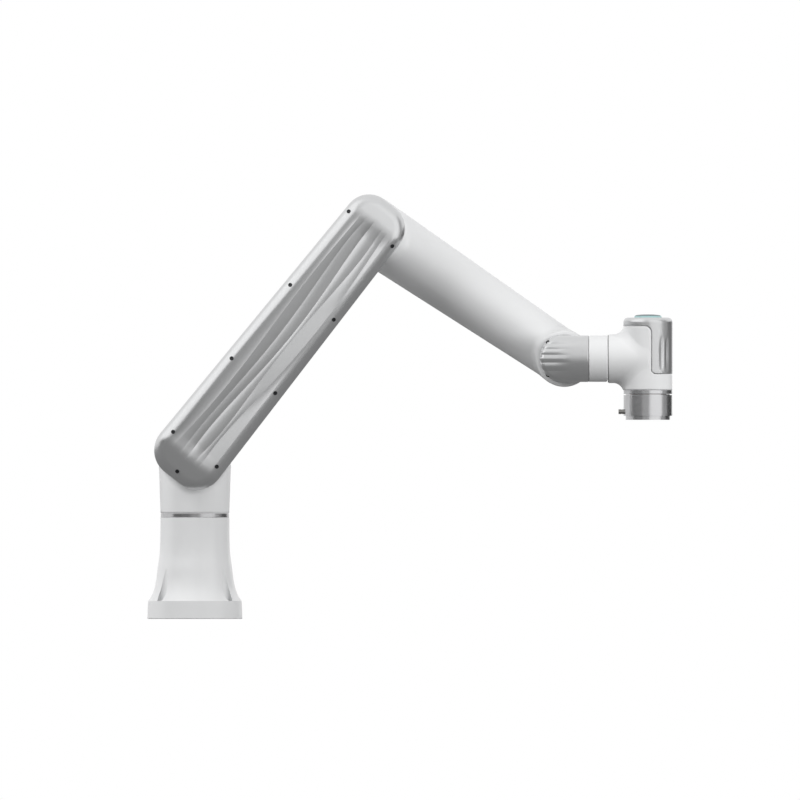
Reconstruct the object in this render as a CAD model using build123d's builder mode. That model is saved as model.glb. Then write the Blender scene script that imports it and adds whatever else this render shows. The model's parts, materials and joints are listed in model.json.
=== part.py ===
from build123d import *

import os
from math import cos, hypot, radians, sin, sqrt

# A six-axis collaborative robot arm, in millimetres, seen from the front along +Y.
# +Z is up. The origin is on the base joint's axis, in the base's bottom face.
# Depth is how far a piece lies in front of the base axis, so Y = -depth.

# Running and seating clearances
seam_gap = 0.4
running_gap = 0.3
air_gap = 0.5
seat_clearance = 0.1
slip_gap = 0.2

# The arm's lengths and its rest pose
upper_arm_length = 465.0
forearm_length = 385.0
wrist_reach = 138.0
flange_drop = 100.8
upper_arm_rise = 51.46
forearm_rise = -33.84

# Base housing
plinth_radius = 78.4
plinth_top_radius = 77.3
plinth_height = 29.5
base_height = 167.3
neck_radius = 56.8
flare_low_radius = 67.7
flare_low_height = 47.7
flare_mid_radius = 61.9
flare_mid_height = 80.7
base_cavity_radius = 46.5
base_cavity_height = 104.0
mount_spacing_x = 107.0
mount_spacing_y = 90.0
mount_hole_radius = 4.5
mount_pocket_radius = 8.3
plinth_edge_break = 1.0

# Connector panel in the back of the base
panel_width = 46.0
panel_height = 32.0
panel_thickness = 3.0
panel_low = 42.0
panel_seat_depth = 54.0
power_inlet_radius = 8.0
data_socket_radius = 5.5
socket_length = 12.0
socket_flange_width = 3.0
socket_wall = 2.0
socket_recess = 1.5
socket_flange_height = 2.5
power_inlet_x = -11.0
data_socket_x = 12.0

# Metal rings at the seams
base_ring_height = 7.0
arm_ring_height = 6.0
wrist_ring_height = 4.0
ring_inset = 0.4
ring_edge_break = 0.6

# Shoulder housing
shoulder_radius = 59.6
shoulder_barrel_radius = 60.2
shoulder_neck_height = 45.1
shoulder_taper_height = 82.3
shoulder_face = 78.0
shoulder_back = 62.0
shoulder_floor = 8.0
shoulder_column_cavity_radius = 50.0
shoulder_column_cavity_height = 41.3
shoulder_rear_cavity_radius = 54.0
shoulder_passage_radius = 24.0
shoulder_passage_back = 27.0

# Rear caps
cap_depth = 14.0
cap_edge_radius = 9.0
cap_post_radius = 8.0
shoulder_post_circle_radius = 48.0
elbow_post_circle_radius = 41.5
first_post_angle = 45.0
cap_screw_count = 4
cap_flute_count = 5
cap_flute_pitch = 15.0
cap_flute_width = 13.0
cap_flute_depth = 1.6

# Upper arm
arm_half_width_low = 61.0
arm_half_width_high = 53.4
arm_low_overhang = 60.4
arm_high_overhang = 52.1
arm_low_corner = 45.0
arm_high_corner = 42.0
arm_boss_height = 5.0
arm_shell_depth = 40.0
arm_shell_edge = 12.0
arm_shell_wall = 4.0
arm_shell_floor = 5.0
gasket_thickness = 1.2
gasket_inset = 0.8
gasket_width = 2.8
arm_cover_depth = 36.0
arm_cover_edge = 10.0
arm_cover_wall = 3.0
shoulder_boss_radius = 57.0
elbow_boss_radius = 50.0

# Screws of the upper arm cover: pairs along its edges and one at its low end
cover_screw_offset = 46.0
cover_screw_rows = 4
cover_end_screw_place = -46.7
screw_head_radius = 3.4
screw_head_height = 4.0
screw_shank_radius = 1.95
screw_length = 40.0
screw_socket_width = 3.0
screw_socket_depth = 2.2
screw_post_radius = 6.5
screw_tip_radius = 3.5

# Flutes in the upper arm cover: offset at its low end, offset at its high end, width, depth
arm_flutes = (
    (27.0, 23.0, 24.0, 2.6),
    (6.0, 0.0, 13.0, 2.2),
    (-9.0, -13.0, 11.0, 1.6),
    (-24.0, -28.0, 16.0, 2.4),
    (-39.0, -39.0, 12.0, 1.6),
)
arm_flute_start = 0.0
arm_flute_end_margin = 3.0
flute_overrun = 1.2

# Cable harness through the upper arm
harness_radius = 5.0
harness_depth = 24.0
harness_bend = 18.0
harness_post_count = 3
harness_post_radius = 8.0

# Forearm
forearm_depth = 21.0
forearm_elbow_radius = 53.5
forearm_root_radius = 53.2
forearm_wrist_radius = 44.6
forearm_wall = 4.0
elbow_back = 34.0
elbow_rear_cavity_radius = 47.0
forearm_face = 72.0
forearm_back = 24.0
forearm_end_radius = 46.5
forearm_end_wall = 8.0
forearm_end_cavity_radius = 38.0
forearm_back_edge = 9.0
forearm_cavity_start = 30.0
forearm_passage_inset = 24.0

# Wrist 1 and wrist 2
wrist_radius = 40.2
wrist_cover_proud = 0.3
wrist_cap_wall = 3.2
wrist_liner_wall = 3.0
wrist_2_leg_radius = 40.0
wrist_neck_length = 3.4
wrist_leg_length = 71.8
wrist_1_cover_reach = 40.0
wrist_1_cover_lap = 8.0
wrist_1_leg_wall = 5.0
wrist_screw_inset = 1.0
wrist_screw_angle = 45.0
wrist_screw_lean = 40.0
wrist_screw_rise = 24.5
wrist_screw_length = 12.0
wrist_seam = 1.0
wrist_seal_inset = 1.0

wrist_2_top = 67.7
wrist_2_top_edge = 6.6
wrist_2_bottom = 51.4
wrist_2_liner_top = 64.5
wrist_2_plate = 4.0
wrist_2_cover_low = 24.9
wrist_2_cover_step = 54.2
wrist_2_cover_side = 6.0
wrist_2_cover_corner = 11.5
wrist_2_flute_length = 62.0
wrist_2_flute_width = 11.0
wrist_2_flute_depth = 1.4
wrist_2_flute_angles = (22.0, 40.0)

# Guide button and its light ring
light_outer_radius = 24.2
light_inner_radius = 21.6
light_height = 5.4
light_edge = 1.2
button_radius = 21.2
button_travel = 1.2
button_crown = 2.2
button_rim_height = 5.0
button_stem_radius = 4.0
button_stem_length = 6.5
dome_well_radius = 12.0
dome_well_depth = 8.0
dome_foot_radius = 11.0
dome_top_radius = 7.0
dome_wall = 1.2

# Tool flange
flange_ring_height = 6.8
flange_groove = 1.8
flange_body_low = 6.6
flange_step_radius = 36.6
flange_floor = 9.5
flange_wall = 6.2
tool_hole_circle_radius = 25.0
first_tool_hole_angle = 45.0
tool_hole_count = 4
tool_hole_radius = 2.5
tool_pilot_radius = 15.75
tool_pilot_depth = 6.0
tool_dowel_radius = 3.0
tool_dowel_depth = 6.5
connector_height = 13.4
connector_radius = 4.0
connector_stand_out = 8.4
connector_seat = 5.0
connector_groove = 0.5
connector_groove_width = 1.0
connector_groove_place = 3.0
connector_recess = 1.2
connector_wall = 1.0

# Joint drives: each is a hollow-shaft motor behind a strain-wave gear, stacked on the output face
large_seat_radius = 46.0
elbow_seat_radius = 42.0
small_seat_radius = 30.0
large_shaft_radius = 14.0
small_shaft_radius = 8.0
shaft_wall = 2.0
race_wall = 9.0
race_height = 8.0
spline_wall = 6.0
spline_start = 0.5
spline_height = 25.5
cup_wall = 1.5
cup_floor = 3.0
cup_height = 16.0
wave_start = 13.0
wave_height = 11.0
stator_wall = 8.0
stator_start = 30.0
stator_height = 20.0
magnet_wall = 4.0
magnet_inset = 1.0
rotor_web_start = 36.0
rotor_web_height = 5.0
shaft_start = 2.0
drive_length = 56.0
seat_length = drive_length + 2.0
spigot_radius_margin = 3.0

# Places that follow from the sizes above
base_ring_top = base_height + base_ring_height
shoulder_bottom = base_ring_top + seam_gap
shoulder_height = shoulder_bottom + shoulder_barrel_radius + shoulder_neck_height
shoulder_taper_top = shoulder_bottom + shoulder_taper_height
wrist_1_back = forearm_face + wrist_ring_height + seam_gap
wrist_depth = wrist_1_back + wrist_radius + wrist_neck_length
wrist_screw_depth = wrist_depth + wrist_screw_rise
wrist_screw_radius = wrist_radius - wrist_screw_inset
wrist_seal_radius = wrist_radius - wrist_seal_inset
wrist_liner_radius = wrist_radius - wrist_cap_wall
wrist_inner_radius = wrist_liner_radius - wrist_liner_wall
cover_screw_pitch = upper_arm_length / (cover_screw_rows - 1)
arm_flute_end = upper_arm_length - arm_flute_end_margin
elbow_x = upper_arm_length * cos(radians(upper_arm_rise))
elbow_z = shoulder_height + upper_arm_length * sin(radians(upper_arm_rise))
wrist_x = elbow_x + forearm_length * cos(radians(forearm_rise))
wrist_z = elbow_z + forearm_length * sin(radians(forearm_rise))
tool_x = wrist_x + wrist_reach
flange_z = wrist_z - flange_drop
arm_boss_face = shoulder_face + arm_ring_height + seam_gap
arm_back = arm_boss_face + arm_boss_height
gasket_back = arm_back + arm_shell_depth
cover_back = gasket_back + gasket_thickness
cover_face = cover_back + arm_cover_depth
wrist_seam_x = wrist_x + wrist_leg_length
wrist_2_start = wrist_seam_x + wrist_seam
cover_radius = wrist_radius + wrist_cover_proud
wrist_2_low_z = wrist_z - wrist_2_bottom
flange_ring_low_z = wrist_2_low_z - flange_ring_height
flange_top_z = flange_ring_low_z - seam_gap
flange_shoulder_z = flange_ring_low_z - flange_groove
flange_inside_z = flange_z + flange_floor
panel_middle = panel_low + panel_height / 2
neck_clear_radius = wrist_radius - flange_wall
neck_outer_radius = neck_clear_radius - seam_gap


def front_plane(x, z, depth, rise=0.0):
    """A plane that faces the viewer, with its X axis turned up by an angle."""
    along = (cos(radians(rise)), 0, sin(radians(rise)))
    return Plane(origin=(x, -depth, z), x_dir=along, z_dir=(0, -1, 0))


def back_plane(x, z, depth):
    """A plane that faces away from the viewer."""
    return Plane(origin=(x, -depth, z), x_dir=(1, 0, 0), z_dir=(0, 1, 0))


def arm_plane(depth):
    """The upper arm's plane: X runs from shoulder to elbow, Y to the upper left."""
    return front_plane(0, shoulder_height, depth, upper_arm_rise)


def drum(plane, radius, length, mode=Mode.ADD):
    """A cylinder that stands on a plane."""
    with BuildSketch(plane) as disc:
        Circle(radius)
    extrude(disc.sketch, amount=length, mode=mode)


def tube(plane, outer, inner, length, mode=Mode.ADD):
    """A ring that stands on a plane."""
    with BuildSketch(plane) as ring:
        Circle(outer)
        Circle(inner, mode=Mode.SUBTRACT)
    extrude(ring.sketch, amount=length, mode=mode)


def flute(plane, length, width, depth):
    """Cuts a long shallow flute along a plane's X axis, fading out at both ends."""
    bore = (width**2 / 4 + depth**2) / (2 * depth)
    reach = flute_overrun * length / 2
    lift = depth * (reach / (length / 2)) ** 2
    path_plane = Plane(origin=plane.origin, x_dir=plane.x_dir, z_dir=-plane.y_dir)
    with BuildLine(path_plane) as path:
        lowest = bore - depth
        ThreePointArc((-reach, lowest + lift), (0, lowest), (reach, lowest + lift))
    with BuildSketch(Plane(origin=path.line @ 0, z_dir=path.line % 0)) as section:
        Circle(bore)
    sweep(section.sketch, path=path.line, mode=Mode.SUBTRACT)


def widest_edges(builder):
    """The round edges of the largest radius."""
    return builder.edges().filter_by(GeomType.CIRCLE).group_by(SortBy.RADIUS)[-1]


def name_and_write(part, name):
    """Labels a finished piece and writes its file."""
    part.label = name
    export_step(part, f"parts/{name}.step")


os.makedirs("parts", exist_ok=True)


def joint_drive(name, plane, seat_radius, shaft_radius):
    """The five pieces of one joint's drive, stacked from its output face into its housing."""
    spline_outer = seat_radius - seat_clearance
    cup_radius = spline_outer - spline_wall - running_gap
    wave_radius = cup_radius - cup_wall - running_gap
    magnet_radius = spline_outer - stator_wall - air_gap
    cup_start = race_height
    shaft_bore = shaft_radius - shaft_wall

    with BuildPart() as output_bearing:
        tube(plane, cup_radius, cup_radius - race_wall, race_height)
    name_and_write(output_bearing.part, f"{name}_output_bearing")

    with BuildPart() as circular_spline:
        tube(plane.offset(spline_start), spline_outer, cup_radius + running_gap, spline_height)
    name_and_write(circular_spline.part, f"{name}_circular_spline")

    with BuildPart() as flexspline:
        tube(plane.offset(cup_start), cup_radius, cup_radius - cup_wall, cup_height)
        tube(plane.offset(cup_start), cup_radius, shaft_radius + running_gap, cup_floor)
    name_and_write(flexspline.part, f"{name}_flexspline")

    with BuildPart() as motor_stator:
        tube(plane.offset(stator_start), spline_outer, spline_outer - stator_wall, stator_height)
    name_and_write(motor_stator.part, f"{name}_motor_stator")

    with BuildPart() as motor_rotor:
        tube(plane.offset(shaft_start), shaft_radius, shaft_bore, drive_length - shaft_start)
        tube(plane.offset(wave_start), wave_radius, shaft_bore, wave_height)
        tube(
            plane.offset(stator_start + magnet_inset),
            magnet_radius,
            magnet_radius - magnet_wall,
            stator_height - 2 * magnet_inset,
        )
        tube(plane.offset(rotor_web_start), magnet_radius, shaft_bore, rotor_web_height)
    name_and_write(motor_rotor.part, f"{name}_motor_rotor")


def spigot_radius(seat_radius):
    """The outer radius of the stub that carries a drive's output bearing."""
    return seat_radius - seat_clearance - spline_wall - running_gap - spigot_radius_margin


def side_plane(x):
    """A plane across the wrist's level axis that faces along X."""
    return Plane(origin=(x, -wrist_depth, wrist_z), x_dir=(0, 1, 0), z_dir=(1, 0, 0))


base_drive_plane = Plane(origin=(0, 0, base_height), x_dir=(1, 0, 0), z_dir=(0, 0, -1))
shoulder_drive_plane = back_plane(0, shoulder_height, shoulder_face)
elbow_drive_plane = back_plane(elbow_x, elbow_z, shoulder_face)
wrist_1_drive_plane = front_plane(wrist_x, wrist_z, wrist_1_back)
wrist_2_drive_plane = side_plane(wrist_2_start)
tool_drive_plane = Plane(origin=(tool_x, -wrist_depth, flange_inside_z), x_dir=(1, 0, 0), z_dir=(0, 0, 1))

joint_drive("base", base_drive_plane, large_seat_radius, large_shaft_radius)
joint_drive("shoulder", shoulder_drive_plane, large_seat_radius, large_shaft_radius)
joint_drive("elbow", elbow_drive_plane, elbow_seat_radius, large_shaft_radius)
joint_drive("wrist_1", wrist_1_drive_plane, small_seat_radius, small_shaft_radius)
joint_drive("wrist_2", wrist_2_drive_plane, small_seat_radius, small_shaft_radius)
joint_drive("tool", tool_drive_plane, small_seat_radius, small_shaft_radius)

large_spigot = spigot_radius(large_seat_radius)
elbow_spigot = spigot_radius(elbow_seat_radius)
small_spigot = spigot_radius(small_seat_radius)
large_cable_bore = large_shaft_radius - shaft_wall
small_cable_bore = small_shaft_radius - shaft_wall


panel_socket_places = ((power_inlet_x, power_inlet_radius), (data_socket_x, data_socket_radius))


# Base housing: a flared cast foot with four screw pockets and the first drive's seat
mount_places = GridLocations(mount_spacing_x, mount_spacing_y, 2, 2)
with BuildPart() as base_housing:
    with BuildSketch(Plane.XZ):
        with BuildLine():
            Polyline((0, 0), (plinth_radius, 0), (plinth_top_radius, plinth_height))
            Spline(
                (plinth_top_radius, plinth_height),
                (flare_low_radius, flare_low_height),
                (flare_mid_radius, flare_mid_height),
                (neck_radius, base_height),
                tangents=((-1.0, 1.25), (0, 1)),
            )
            Polyline((neck_radius, base_height), (0, base_height), (0, 0))
        make_face()
    revolve(axis=Axis.Z)
    chamfer(base_housing.edges().sort_by(Axis.Z)[0], plinth_edge_break)
    drum(base_drive_plane, large_seat_radius, seat_length, Mode.SUBTRACT)
    drum(Plane.XY, base_cavity_radius, base_cavity_height, Mode.SUBTRACT)
    cable_way = Plane.XY.offset(base_cavity_height)
    drum(cable_way, large_seat_radius - spline_wall, base_height, Mode.SUBTRACT)
    with BuildSketch(Plane.XY):
        with mount_places:
            Circle(mount_hole_radius)
    extrude(amount=plinth_height, mode=Mode.SUBTRACT)
    with BuildSketch(Plane.XY.offset(plinth_height)):
        with mount_places:
            Circle(mount_pocket_radius)
    extrude(amount=base_height - plinth_height, mode=Mode.SUBTRACT)
    with BuildSketch(back_plane(0, panel_low, -panel_seat_depth)):
        Rectangle(panel_width, panel_height, align=(Align.CENTER, Align.MAX))
    extrude(amount=plinth_radius, mode=Mode.SUBTRACT)
    for socket_x, socket_radius in panel_socket_places:
        socket_plane = back_plane(socket_x, panel_middle, 0)
        drum(socket_plane, socket_radius + slip_gap, plinth_radius, Mode.SUBTRACT)
name_and_write(base_housing.part, "base_housing")

with BuildPart() as base_joint_ring:
    tube(
        Plane.XY.offset(base_height),
        neck_radius - ring_inset,
        large_spigot + seam_gap,
        base_ring_height,
    )
    chamfer(widest_edges(base_joint_ring), ring_edge_break)
name_and_write(base_joint_ring.part, "base_joint_ring")

with BuildPart() as base_connector_panel:
    with BuildSketch(back_plane(0, panel_low + slip_gap, -panel_seat_depth)):
        Rectangle(
            panel_width - 2 * slip_gap,
            panel_height - 2 * slip_gap,
            align=(Align.CENTER, Align.MAX),
        )
    extrude(amount=panel_thickness)
    for socket_x, socket_radius in panel_socket_places:
        socket_plane = back_plane(socket_x, panel_middle, 0)
        drum(socket_plane, socket_radius + slip_gap, plinth_radius, Mode.SUBTRACT)
name_and_write(base_connector_panel.part, "base_connector_panel")


# Panel sockets: the power inlet and the smaller data socket, each with a flange on the panel
with BuildPart() as panel_sockets:
    for socket_x, socket_radius in panel_socket_places:
        flange_place = back_plane(socket_x, panel_middle, -panel_seat_depth - panel_thickness)
        socket_floor = flange_place.offset(socket_length / 2 - socket_recess)
        drum(flange_place.offset(-socket_length / 2), socket_radius, socket_length)
        drum(flange_place, socket_radius + socket_flange_width, socket_flange_height)
        drum(socket_floor, socket_radius - socket_wall, socket_length, Mode.SUBTRACT)
name_and_write(panel_sockets.part, "panel_sockets")


def cap_posts(plane, circle):
    """Screw holes or posts of a rear cap, evenly spread about its middle."""
    with BuildSketch(plane) as places:
        with PolarLocations(circle, cap_screw_count, start_angle=first_post_angle):
            Circle(cap_post_radius)
    return places.sketch


# Shoulder housing: a short column that turns into the barrel behind the upper arm
shoulder_rear = back_plane(0, shoulder_height, -shoulder_back)
elbow_rear = back_plane(elbow_x, elbow_z, -elbow_back)
with BuildPart() as shoulder_housing:
    with BuildSketch(Plane.XZ):
        Polygon(
            (0, shoulder_bottom),
            (neck_radius, shoulder_bottom),
            (shoulder_radius, shoulder_taper_top),
            (shoulder_radius, shoulder_height),
            (0, shoulder_height),
            align=None,
        )
    revolve(axis=Axis.Z)
    drum(shoulder_rear, shoulder_barrel_radius, -(shoulder_back + shoulder_face))
    drum(shoulder_drive_plane, large_seat_radius, seat_length, Mode.SUBTRACT)
    drum(
        shoulder_drive_plane.offset(seat_length),
        shoulder_rear_cavity_radius,
        shoulder_back + shoulder_face - seat_length,
        Mode.SUBTRACT,
    )
    column_floor = Plane.XY.offset(shoulder_bottom + shoulder_floor)
    drum(
        column_floor,
        shoulder_column_cavity_radius,
        shoulder_column_cavity_height,
        Mode.SUBTRACT,
    )
    with BuildSketch(column_floor):
        with Locations((0, shoulder_passage_back)):
            Circle(shoulder_passage_radius)
    extrude(amount=shoulder_height - shoulder_bottom, mode=Mode.SUBTRACT)
    drum(Plane.XY.offset(base_height), large_spigot, base_ring_height + seam_gap + shoulder_floor)
    drum(Plane.XY.offset(base_height), large_cable_bore, shoulder_height - base_height, Mode.SUBTRACT)
    extrude(cap_posts(shoulder_rear, shoulder_post_circle_radius), amount=-cap_depth)
    with BuildSketch(shoulder_rear):
        with PolarLocations(shoulder_post_circle_radius, cap_screw_count, start_angle=first_post_angle):
            Circle(screw_shank_radius + slip_gap)
    extrude(amount=-cap_depth, mode=Mode.SUBTRACT)
name_and_write(shoulder_housing.part, "shoulder_housing")


def joint_ring(name, plane, outer, inner, height):
    """A metal seam ring whose outer edges are broken."""
    with BuildPart() as ring:
        tube(plane, outer, inner, height)
        chamfer(widest_edges(ring), ring_edge_break)
    name_and_write(ring.part, name)


joint_ring(
    "shoulder_joint_ring",
    front_plane(0, shoulder_height, shoulder_face),
    shoulder_boss_radius - ring_inset,
    large_spigot + seam_gap,
    arm_ring_height,
)
joint_ring(
    "elbow_joint_ring",
    front_plane(elbow_x, elbow_z, shoulder_face),
    elbow_boss_radius - ring_inset,
    elbow_spigot + seam_gap,
    arm_ring_height,
)
joint_ring(
    "wrist_joint_ring",
    front_plane(wrist_x, wrist_z, forearm_face),
    wrist_radius - ring_inset,
    small_spigot + seam_gap,
    wrist_ring_height,
)


def rear_cap(name, plane, radius, circle):
    """A rounded grey cap with shallow flutes, and the screws that hold it."""
    outer_face = plane.offset(cap_depth)
    seat_depth = cap_depth - screw_head_height
    with BuildPart() as cap:
        drum(plane, radius, cap_depth)
        outer_edge = cap.edges().filter_by(GeomType.CIRCLE).sort_by(Axis.Y)[-1]
        fillet(outer_edge, cap_edge_radius)
        for place in range(cap_flute_count):
            offset_along = (place - (cap_flute_count - 1) / 2) * cap_flute_pitch
            middle = outer_face.origin + outer_face.x_dir * offset_along
            flute_plane = Plane(origin=middle, x_dir=plane.y_dir, z_dir=plane.z_dir)
            chord = 2 * sqrt((radius - cap_edge_radius) ** 2 - offset_along**2)
            flute(flute_plane, chord, cap_flute_width, cap_flute_depth)
        with BuildSketch(plane):
            with PolarLocations(circle, cap_screw_count, start_angle=first_post_angle):
                Circle(screw_shank_radius + slip_gap)
        extrude(amount=cap_depth, mode=Mode.SUBTRACT)
        with BuildSketch(plane.offset(seat_depth)):
            with PolarLocations(circle, cap_screw_count, start_angle=first_post_angle):
                Circle(screw_head_radius + slip_gap)
        extrude(amount=cap_depth, mode=Mode.SUBTRACT)
    name_and_write(cap.part, name)

    with BuildPart() as screws:
        with BuildSketch(plane.offset(seat_depth)):
            with PolarLocations(circle, cap_screw_count, start_angle=first_post_angle):
                Circle(screw_head_radius)
        extrude(amount=screw_head_height - cap_flute_depth)
        with BuildSketch(plane.offset(seat_depth)):
            with PolarLocations(circle, cap_screw_count, start_angle=first_post_angle):
                Circle(screw_shank_radius)
        extrude(amount=-(seat_depth + cap_depth / 2))
        with BuildSketch(plane.offset(cap_depth - cap_flute_depth)):
            with PolarLocations(circle, cap_screw_count, start_angle=first_post_angle):
                RegularPolygon(screw_socket_width / 2, 6, major_radius=False)
        extrude(amount=-screw_socket_depth, mode=Mode.SUBTRACT)
    name_and_write(screws.part, f"{name}_screws")


rear_cap("shoulder_rear_cap", shoulder_rear, shoulder_barrel_radius, shoulder_post_circle_radius)
rear_cap("elbow_rear_cap", elbow_rear, forearm_elbow_radius, elbow_post_circle_radius)


def arm_half_width(place):
    """Half the upper arm's width at a distance from the shoulder axis."""
    taper = (arm_half_width_low - arm_half_width_high) / upper_arm_length
    return arm_half_width_low - taper * place


def arm_outline(depth, inset=0.0):
    """The upper arm's tapered outline with its four rounded corners."""
    low = -arm_low_overhang
    high = upper_arm_length + arm_high_overhang
    with BuildSketch(arm_plane(depth)) as outline:
        Polygon(
            (low, -arm_half_width(low)),
            (high, -arm_half_width(high)),
            (high, arm_half_width(high)),
            (low, arm_half_width(low)),
            align=None,
        )
        corners = outline.vertices().group_by(Axis.X)
        fillet(corners[0], arm_low_corner)
        corners = outline.vertices().sort_by(Axis.X)[-2:]
        fillet(corners, arm_high_corner)
        if inset:
            offset(amount=-inset, mode=Mode.REPLACE)
    return outline.sketch


def cover_screw_places():
    """Where the upper arm cover's screws stand in the arm's plane."""
    places = [(cover_end_screw_place, 0.0)]
    for row in range(cover_screw_rows):
        for side in (-1, 1):
            places.append((row * cover_screw_pitch, side * cover_screw_offset))
    return places


def at_screws(depth, radius, length, mode=Mode.ADD):
    """One cylinder at each cover screw, standing towards the viewer."""
    with BuildSketch(arm_plane(depth)) as discs:
        with Locations(*cover_screw_places()):
            Circle(radius)
    extrude(discs.sketch, amount=length, mode=mode)


# Upper arm shell: the rear half, with a boss and a spigot at each joint
with BuildPart() as shell_hollow:
    extrude(arm_outline(arm_back + arm_shell_floor, arm_shell_wall), amount=arm_shell_depth)
    at_screws(arm_back, screw_post_radius, 2 * arm_shell_depth, Mode.SUBTRACT)

with BuildPart() as upper_arm_shell:
    extrude(arm_outline(arm_back), amount=arm_shell_depth)
    rear_edges = upper_arm_shell.faces().sort_by(Axis.Y)[-1].edges()
    fillet(rear_edges, arm_shell_edge)
    add(shell_hollow.part, mode=Mode.SUBTRACT)
    for x, z, boss_radius, stub_radius in (
        (0, shoulder_height, shoulder_boss_radius, large_spigot),
        (elbow_x, elbow_z, elbow_boss_radius, elbow_spigot),
    ):
        drum(front_plane(x, z, arm_boss_face), boss_radius, arm_boss_height + arm_shell_floor)
        drum(front_plane(x, z, shoulder_face), stub_radius, arm_ring_height + seam_gap)
        drum(front_plane(x, z, shoulder_face), large_cable_bore, arm_shell_depth, Mode.SUBTRACT)
    at_screws(arm_back + arm_shell_floor, screw_shank_radius + slip_gap, arm_shell_depth, Mode.SUBTRACT)
    with BuildSketch(arm_plane(arm_back)):
        for post in range(harness_post_count):
            place = (post + 1) * upper_arm_length / (harness_post_count + 1)
            with Locations((place, 0)):
                Circle(harness_post_radius)
    extrude(amount=harness_depth - harness_radius - seat_clearance)
name_and_write(upper_arm_shell.part, "upper_arm_shell")

with BuildPart() as upper_arm_gasket:
    extrude(arm_outline(gasket_back, gasket_inset), amount=gasket_thickness)
    extrude(
        arm_outline(gasket_back, gasket_inset + gasket_width),
        amount=gasket_thickness,
        mode=Mode.SUBTRACT,
    )
name_and_write(upper_arm_gasket.part, "upper_arm_gasket")

# Upper arm cover: a thin shell with a rounded rim, screw posts and long flutes in its face
with BuildPart() as cover_hollow:
    extrude(arm_outline(cover_back, arm_cover_wall), amount=arm_cover_depth - arm_cover_wall)
    fillet(cover_hollow.faces().sort_by(Axis.Y)[0].edges(), arm_cover_edge - arm_cover_wall)
    at_screws(cover_back, screw_post_radius, arm_cover_depth, Mode.SUBTRACT)

head_seat = cover_face - screw_head_height
with BuildPart() as upper_arm_cover:
    extrude(arm_outline(cover_back), amount=arm_cover_depth)
    front_edges = upper_arm_cover.faces().sort_by(Axis.Y)[0].edges()
    fillet(front_edges, arm_cover_edge)
    add(cover_hollow.part, mode=Mode.SUBTRACT)
    at_screws(gasket_back, screw_tip_radius, gasket_thickness)
    for low_offset, high_offset, width, depth in arm_flutes:
        run = arm_flute_end - arm_flute_start
        drop = high_offset - low_offset
        middle = arm_plane(cover_face).from_local_coords(
            Vector((arm_flute_start + arm_flute_end) / 2, (low_offset + high_offset) / 2)
        )
        heading = arm_plane(0).from_local_coords(Vector(run, drop)) - arm_plane(0).origin
        flute(Plane(origin=middle, x_dir=heading, z_dir=(0, -1, 0)), hypot(run, drop), width, depth)
    at_screws(gasket_back, screw_shank_radius + slip_gap, arm_cover_depth, Mode.SUBTRACT)
    at_screws(head_seat, screw_head_radius + slip_gap, arm_cover_depth, Mode.SUBTRACT)
name_and_write(upper_arm_cover.part, "upper_arm_cover")

with BuildPart() as upper_arm_cover_screws:
    at_screws(head_seat, screw_head_radius, screw_head_height)
    at_screws(head_seat, screw_shank_radius, -screw_length)
    with BuildSketch(arm_plane(cover_face)):
        with Locations(*cover_screw_places()):
            RegularPolygon(screw_socket_width / 2, 6, major_radius=False)
    extrude(amount=-screw_socket_depth, mode=Mode.SUBTRACT)
name_and_write(upper_arm_cover_screws.part, "upper_arm_cover_screws")

# Harness: one cable bundle from the shoulder's hollow shaft to the elbow's
with BuildPart() as upper_arm_harness:
    harness_start = arm_plane(arm_boss_face).origin
    harness_end = front_plane(elbow_x, elbow_z, arm_boss_face).origin
    forward = Vector(0, -(arm_back - arm_boss_face + harness_depth), 0)
    with BuildLine() as harness_path:
        FilletPolyline(
            harness_start,
            harness_start + forward,
            harness_end + forward,
            harness_end,
            radius=harness_bend,
        )
    with BuildSketch(Plane(origin=harness_path.line @ 0, z_dir=harness_path.line % 0)):
        Circle(harness_radius)
    sweep(path=harness_path.line)
name_and_write(upper_arm_harness.part, "upper_arm_harness")


# Forearm: a tapered tube between the elbow barrel and the rounded wrist end
forearm_axis = front_plane(elbow_x, elbow_z, forearm_depth, forearm_rise)
forearm_start = Plane(origin=forearm_axis.origin, x_dir=(0, 1, 0), z_dir=forearm_axis.x_dir)
forearm_end_back = front_plane(wrist_x, wrist_z, -forearm_back)
forearm_taper = (forearm_root_radius - forearm_wrist_radius) / forearm_length


def tapered_run(start, end, inset, mode=Mode.ADD):
    """A length of the forearm's cone, between two distances from the elbow axis."""
    with BuildSketch(forearm_start.offset(start)) as near_end:
        Circle(forearm_root_radius - forearm_taper * start - inset)
    with BuildSketch(forearm_start.offset(end)) as far_end:
        Circle(forearm_root_radius - forearm_taper * end - inset)
    loft([near_end.sketch.face(), far_end.sketch.face()], mode=mode)


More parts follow.
